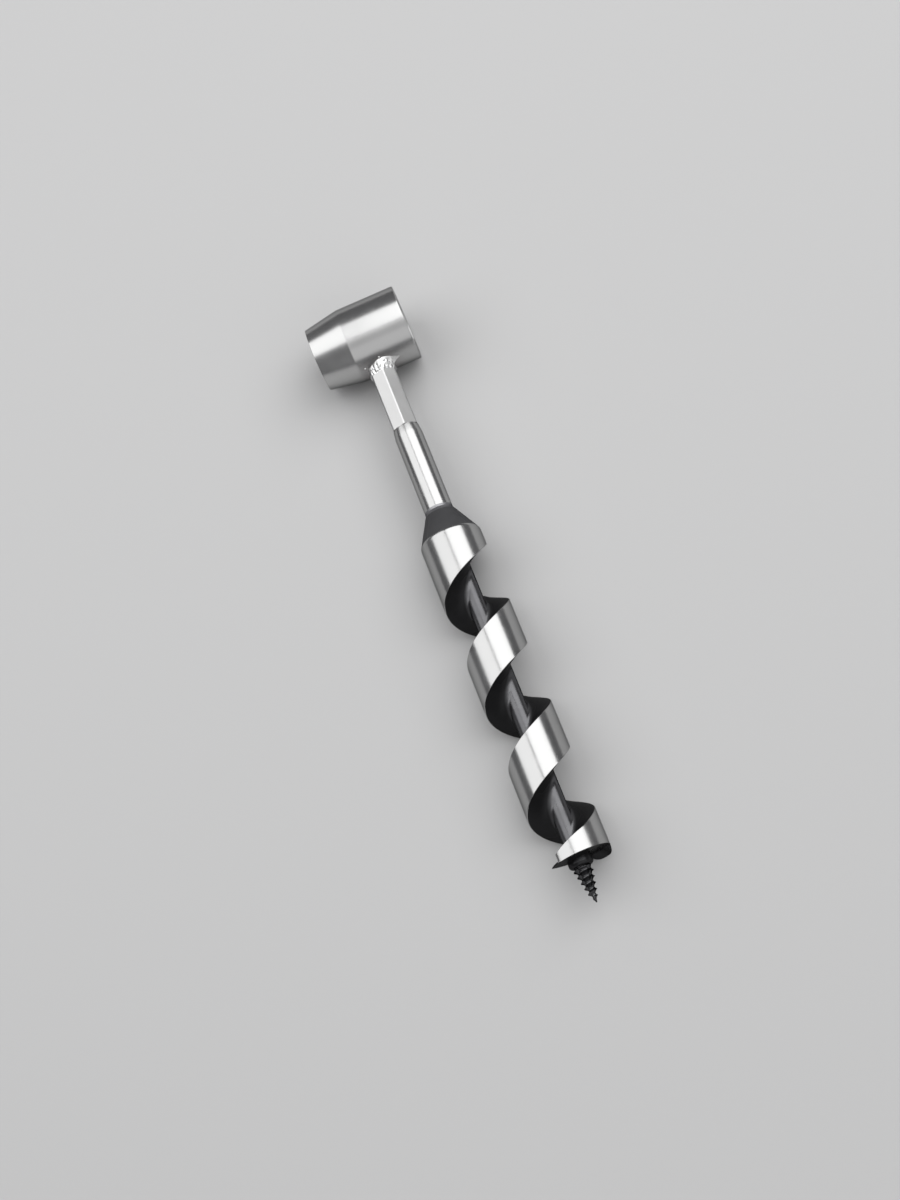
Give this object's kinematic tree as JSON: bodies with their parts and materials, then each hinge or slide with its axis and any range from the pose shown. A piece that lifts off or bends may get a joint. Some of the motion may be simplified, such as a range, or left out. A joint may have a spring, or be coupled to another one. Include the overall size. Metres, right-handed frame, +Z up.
{
  "type": "hand auger bit",
  "caption": "Steel hand auger bit: an eye tube for a stick handle welded across a hexagon shank, then a dark twist with ground lands, a cutting lip, a spur and a lead screw.",
  "frame": {"origin": "middle of the eye's bore, where the line of the bit crosses it", "axes": "+X along the bore to the square end of the eye tube, the screw points to -Y, +Z up as the tool lies on a flat surface; the line of the bit dips 0.8 degrees below -Y, so that the eye tube and the rim of the twist both touch the surface"},
  "size_m": [0.04, 0.2665, 0.0316],
  "materials": {
    "turned_steel": "satin turned steel with fine rings",
    "weld_metal": "bright rippled weld metal",
    "ground_steel": "bright ground steel",
    "blackened_steel": "black oxide with bright ground lands",
    "black_screw_steel": "glossy black oxide"
  },
  "bodies": {
    "root": {"eye_tube": "turned_steel", "weld_bead": "weld_metal", "shank": "ground_steel", "twist_body": "blackened_steel", "lead_screw": "black_screw_steel"}
  },
  "joints": []
}
